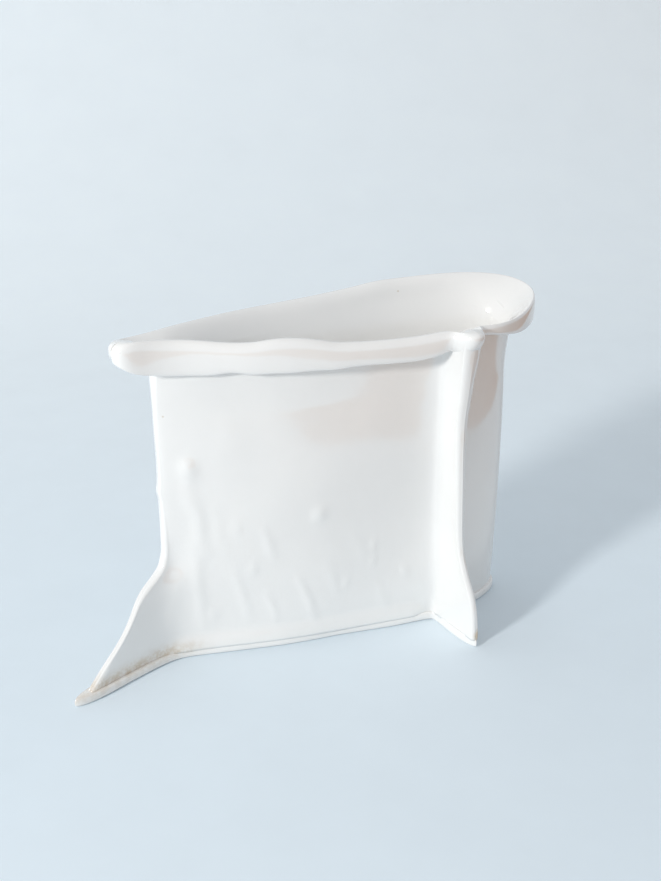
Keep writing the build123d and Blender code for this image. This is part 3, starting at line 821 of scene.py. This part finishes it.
def wallPiece(name, node, skinOf, innerOf, startFin, endFin, faceTop, innerTop, innerShares, dent):
    rows = slab["rows"]
    columns = len(innerShares) + 2 * slab["seamColumns"]
    faceShares = facing(skinOf, innerOf, startFin, endFin, innerShares)
    z = heights(np.interp(np.linspace(0.0, 1.0, len(faceShares)), np.linspace(0.0, 1.0, columns), endless(faceTop)))
    plan = runAlong(skinOf(z, vase["wall"]), np.tile(faceShares, (rows, 1)))
    face = place(plan, z)
    face[..., :2] += rightOf(unit(np.gradient(plan, axis=1))) * dent(face)[..., None]
    startEdge = finEdge(startFin, z[:, 0], -1.0)
    endEdge = finEdge(endFin, z[:, -1], 1.0)[:, ::-1]
    outside = np.concatenate((startEdge, face, endEdge), 1)
    z = heights(innerTop)
    inner = place(runAlong(innerOf(z), np.tile(innerShares, (rows, 1))), z)
    startSeam = seamRun(startEdge[:, 0], inner[:, 0])
    endSeam = seamRun(endEdge[:, -1], inner[:, -1])[:, ::-1]
    inside = np.concatenate((startSeam, inner, endSeam), 1)
    across, up = slab["tuck"]
    tuck = place(between(inside[-1:, :, :2], outside[-1:, :, :2], across),
                 between(inside[-1:, :, 2], outside[-1:, :, 2], up))
    points = np.concatenate((outside, tuck, inside[::-1], outside[:1]))  # up the outside, over and down the inside
    bm = startSheet(points)
    hardRow(bm, columns, rows - 1)
    hardRow(bm, columns, rows + 1)
    hardEnds(bm, columns)
    # paints shade into the creases along the floor lines
    paint(bm, "creaseShade", creaseShadeAt(points))
    paint(bm, "bareClay", bareAt(points))
    closeSheet(bm, columns)
    finishPiece(name, bm, node)


def creaseShadeAt(points):  # painted warm shade in the crease along the left foot, less along the other floor lines
    level, fade = foot["shadeLevel"]
    low = np.exp(-((points[..., 2] / mm - level) / fade) ** 2)
    leftFoot = 1.0 - rising(points[..., 0] / mm, *foot["shadeUpTo"])
    little, more = foot["creaseShade"]
    return np.clip(low * (little + more * leftFoot), 0.0, 1.0)


def bareAt(points):  # unglazed tip of the right foot
    gap = np.linalg.norm(points - np.array(foot["bareAt"]), axis=-1)
    return 1.0 - rising(gap, *foot["bareOver"])


def frontDent(points):
    x, z = points[..., 0], points[..., 2]
    flat = rising(x, *slab["pressedFrom"]) * (1.0 - rising(x, *slab["pressedTo"]))
    far, high = slab["footRun"]
    run = 1.0 - rising(z, vase["floor"], high)
    uneven, size, seed = slab["frontUneven"]
    return (pressed(points) + far * run) * flat + uneven * ripple(points, size, seed)


def backDent(points):
    uneven, size, seed = slab["backUneven"]
    return uneven * ripple(points, size, seed)


leftEdge = {"seam": leftSeamAt, "way": leftFin, "reach": "leftReach", "leaf": "leftLeaf", "groove": "leftGroove",
            "round": vase["edgeRound"][0]}
rightEdge = {"seam": rightSeamAt, "way": rightFin, "reach": "rightReach", "leaf": "rightLeaf", "groove": "rightGroove",
             "round": vase["edgeRound"][1]}
wallPiece("frontWallSlab", "front_slab", frontSkin, frontInner, leftEdge, rightEdge, frontTop, frontEdge,
          frontShares, frontDent)
wallPiece("backWallSlab", "back_slab", backSkin, backInner, rightEdge, leftEdge, backTop, backEdge,
          backShares, backDent)


# Floor slab with a rounded edge and a tongue under each foot

floorSlab = {
    "ledge": 0.0016,
    "tongues": (0.0035, 0.0006),
    "frontColumns": 220,
    "backColumns": 300,
    "edge": ((0.0, 1.0), (0.03, 0.62), (0.10, 0.28), (0.22, 0.07), (0.40, 0.0), (0.60, 0.02), (0.78, 0.08),
             (0.90, 0.20), (0.97, 0.34), (1.0, 0.50)),  # share of the height, share of the rounding drawn in
    "round": 0.0017,
    "wave": (0.0006, 0.022, 7.0),  # how far, size of the waves, seed
    "creaseShade": 0.55,  # painted crease shade, as a share of the wall slabs'
}


def floorPiece():
    rings = []
    ground = np.zeros(1)
    for level, drawn in floorSlab["edge"]:
        ledge = floorSlab["ledge"] - floorSlab["round"] * drawn
        tongues = [tongue - floorSlab["round"] * drawn for tongue in floorSlab["tongues"]]
        leftTip = leftSeamAt(ground) + leftFin(ground) * (finSize("leftReach", ground) + tongues[0])
        rightTip = rightSeamAt(ground) + rightFin(ground) * (finSize("rightReach", ground) + tongues[1])
        front = [leftTip, *frontSkin(ground, vase["wall"] + ledge, ledge, tongues), rightTip]
        back = [rightTip, *backSkin(ground, vase["wall"] + ledge, ledge, tongues), leftTip]
        plan = np.concatenate((runAlong(front, np.linspace(0, 1, floorSlab["frontColumns"])),
                               runAlong(back, np.linspace(0, 1, floorSlab["backColumns"]))[1:]))
        rings.append(place(plan, np.full(len(plan), vase["floor"] * level)))
    points = np.array(rings)
    way = np.gradient(points[..., :2], axis=1)
    far, size, seed = floorSlab["wave"]
    wave = far * ripple(points * (1, 1, 0), size, seed)
    points[:, 1:-1, :2] += (rightOf(unit(way)) * wave[..., None])[:, 1:-1]
    bm = startSheet(points)
    # paints shade into the creases along the floor lines
    paint(bm, "creaseShade", creaseShadeAt(points) * floorSlab["creaseShade"])
    paint(bm, "bareClay", bareAt(points))
    closeSheet(bm, points.shape[1])
    for edge in bm.edges:
        edge.smooth = True
    finishPiece("floorSlab", bm, "base_slab")


floorPiece()


# Coils inside the seams and along the floor keep their CAD shapes

for node in ("left_seam_coil", "right_seam_coil", "front_floor_coil", "back_floor_coil"):
    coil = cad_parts[node]
    coil.data.materials.clear()
    coil.data.materials.append(whiteGlaze)
print("coils glazed")


# Stage: pale blue paper that sweeps up behind, painted lighter far back, soft light from the front left

paper = {
    "near": (0.785, 0.878, 0.945),  # under the vase, and far behind it painted lighter: painted light on the backdrop
    "far": (0.890, 0.958, 1.000),
    "fade": (-0.10, 0.45),  # from one to the other, along y
    "grain": (0.97, 1.03),
    "specular": 0.15,
    "roughness": 0.85,
    "size": 4.0,
    "segments": (24, 64),
    "sweepFrom": 0.34,
    "sweepRadius": 0.55,
}
wood = {
    "colour": (0.480, 0.245, 0.120),  # under the paper, beyond the picture's right edge
    "grain": (0.8, 1.2),
    "roughness": 0.6,
    "start": (0.130, -0.196),  # a point on its edge
    "turn": 58.5,  # way of its edge, degrees
    "half": 1.0,
    "drop": 0.0008,
}
window = {
    "spot": (-1.188, -0.896, 0.646),
    "target": (0.0, 0.0, 0.06),
    "size": 0.21,
    "power": 15.2,
    "colour": (1.0, 0.985, 0.96),
}
sky = {
    "light": (0.56, 0.57, 0.585),  # soft light on the vase
    "seen": (0.80, 0.86, 0.93),  # what shows behind it
}


def showMesh(name, bm, material):
    mesh = bpy.data.meshes.new(name)
    bm.to_mesh(mesh)
    bm.free()
    shown = bpy.data.objects.new(name, mesh)
    bpy.context.scene.collection.objects.link(shown)
    mesh.materials.append(material)
    return shown


def paperMaterial():
    material = bpy.data.materials.new("bluePaper")
    material.use_nodes = True
    tree = material.node_tree
    link = tree.links.new
    shader = tree.nodes["Principled BSDF"]
    shader.inputs["Specular IOR Level"].default_value = paper["specular"]
    shader.inputs["Roughness"].default_value = paper["roughness"]
    coords = addNode(tree, "ShaderNodeTexCoord", (-900, 0))
    fibre = addNode(tree, "ShaderNodeTexNoise", (-700, 0), {"Scale": 26.0, "Detail": 5.0, "Roughness": 0.6})
    link(coords.outputs["Object"], fibre.inputs["Vector"])
    spot = addNode(tree, "ShaderNodeSeparateXYZ", (-700, 260))
    link(coords.outputs["Object"], spot.inputs["Vector"])
    depth = addNode(tree, "ShaderNodeMapRange", (-500, 260),
                    {"From Min": paper["fade"][0], "From Max": paper["fade"][1]})
    depth.interpolation_type = "SMOOTHSTEP"
    link(spot.outputs["Y"], depth.inputs["Value"])
    # painted light: the paper is painted lighter far behind the vase
    tone = addMix(tree, (-300, 200))
    tone.inputs["A"].default_value = (*paper["near"], 1.0)
    tone.inputs["B"].default_value = (*paper["far"], 1.0)
    link(depth.outputs["Result"], tone.inputs["Factor"])
    grain = addNode(tree, "ShaderNodeMapRange", (-500, 0), {"To Min": paper["grain"][0], "To Max": paper["grain"][1]})
    link(fibre.outputs["Fac"], grain.inputs["Value"])
    grained = addMix(tree, (-120, 100), {"Factor": 1.0})
    grained.blend_type = "MULTIPLY"
    link(tone.outputs["Result"], grained.inputs["A"])
    link(grain.outputs["Result"], grained.inputs["B"])
    link(grained.outputs["Result"], shader.inputs["Base Color"])
    return material


def paperSweep(name, beyond, material):  # one side of the table's edge
    bm = bmesh.new()
    across, along = paper["segments"]
    bmesh.ops.create_grid(bm, x_segments=across, y_segments=along, size=paper["size"] / 2)
    start, radius = paper["sweepFrom"], paper["sweepRadius"]
    for vert in bm.verts:
        past = vert.co.y - start
        if past > 0:  # round the bend, then straight up
            turn = min(past / radius, pi / 2)
            vert.co.y = start + radius * sin(turn)
            vert.co.z = radius * (1 - cos(turn)) + max(0.0, past - radius * pi / 2)
    bmesh.ops.bisect_plane(bm, geom=[*bm.verts, *bm.edges, *bm.faces], plane_co=(*wood["start"], 0.0),
                           plane_no=(*rightOf(heading(wood["turn"])), 0.0),
                           clear_outer=not beyond, clear_inner=beyond)
    for face in bm.faces:
        face.smooth = True
    sheet = showMesh(name, bm, material)
    sheet.visible_diffuse = sheet.visible_glossy = sheet.visible_shadow = not beyond  # the glaze sees the table there


def woodMaterial():
    material = bpy.data.materials.new("tableWood")
    material.use_nodes = True
    tree = material.node_tree
    link = tree.links.new
    shader = tree.nodes["Principled BSDF"]
    shader.inputs["Roughness"].default_value = wood["roughness"]
    coords = addNode(tree, "ShaderNodeTexCoord", (-700, 0))
    grain = addNode(tree, "ShaderNodeTexNoise", (-500, 0), {"Scale": 9.0, "Detail": 4.0})
    link(coords.outputs["Object"], grain.inputs["Vector"])
    tone = addMix(tree, (-280, 0))
    for socket, share in zip("AB", wood["grain"]):
        tone.inputs[socket].default_value = (*[c * share for c in wood["colour"]], 1.0)
    link(grain.outputs["Fac"], tone.inputs["Factor"])
    link(tone.outputs["Result"], shader.inputs["Base Color"])
    return material


def tableTop():  # under the paper, only seen in the glaze
    bm = bmesh.new()
    bmesh.ops.create_grid(bm, x_segments=1, y_segments=1, size=wood["half"])
    way = heading(wood["turn"])
    for vert in bm.verts:
        plan = np.array(wood["start"]) + way * vert.co.y + rightOf(way) * (vert.co.x + wood["half"])
        vert.co = (*plan, -wood["drop"])
    showMesh("tableTop", bm, woodMaterial())


def windowLight():
    lamp = bpy.data.lights.new("windowLight", "AREA")
    lamp.shape = "DISK"
    lamp.size = window["size"]
    lamp.energy = window["power"]
    lamp.color = window["colour"]
    holder = bpy.data.objects.new("windowLight", lamp)
    bpy.context.scene.collection.objects.link(holder)
    holder.location = window["spot"]
    way = Vector(window["target"]) - Vector(window["spot"])
    holder.rotation_euler = way.to_track_quat("-Z", "Y").to_euler()


def skyLight():
    world = bpy.data.worlds.new("studio")
    bpy.context.scene.world = world
    world.use_nodes = True
    tree = world.node_tree
    back = tree.nodes["Background"]
    path = addNode(tree, "ShaderNodeLightPath", (-900, 200))
    seen = addMath(tree, "MAXIMUM", (-700, 200))
    both = addMath(tree, "MAXIMUM", (-500, 200))
    tone = addMix(tree, (-250, 100))
    tone.inputs["A"].default_value = (*sky["light"], 1.0)
    tone.inputs["B"].default_value = (*sky["seen"], 1.0)
    link = tree.links.new
    link(path.outputs["Is Camera Ray"], seen.inputs[0])
    link(path.outputs["Is Glossy Ray"], seen.inputs[1])
    link(seen.outputs["Value"], both.inputs[0])
    link(path.outputs["Is Transmission Ray"], both.inputs[1])
    link(both.outputs["Value"], tone.inputs["Factor"])
    link(tone.outputs["Result"], back.inputs["Color"])


bluePaper = paperMaterial()
paperSweep("paperSweep", False, bluePaper)
paperSweep("paperSide", True, bluePaper)
tableTop()
windowLight()
skyLight()
print("stage set")


# Camera of the photo

camera = {
    "eye": (-0.0582, -0.4070, 0.2540),
    "turn": -9.3,  # degrees from +Y, to the right
    "pitch": 22.8,
    "lens": 49.03,
    "sensor": 36.0,
    "clipStart": 0.01,
}
cameraData = bpy.data.cameras.new("photoCamera")
cameraData.lens = camera["lens"]
cameraData.sensor_width = camera["sensor"]
cameraData.clip_start = camera["clipStart"]
photoCamera = bpy.data.objects.new("photoCamera", cameraData)
bpy.context.scene.collection.objects.link(photoCamera)
photoCamera.location = camera["eye"]
photoCamera.rotation_euler = (radians(90.0 - camera["pitch"]), 0.0, radians(camera["turn"]))
bpy.context.scene.camera = photoCamera
bpy.context.scene.view_settings.view_transform = "Standard"
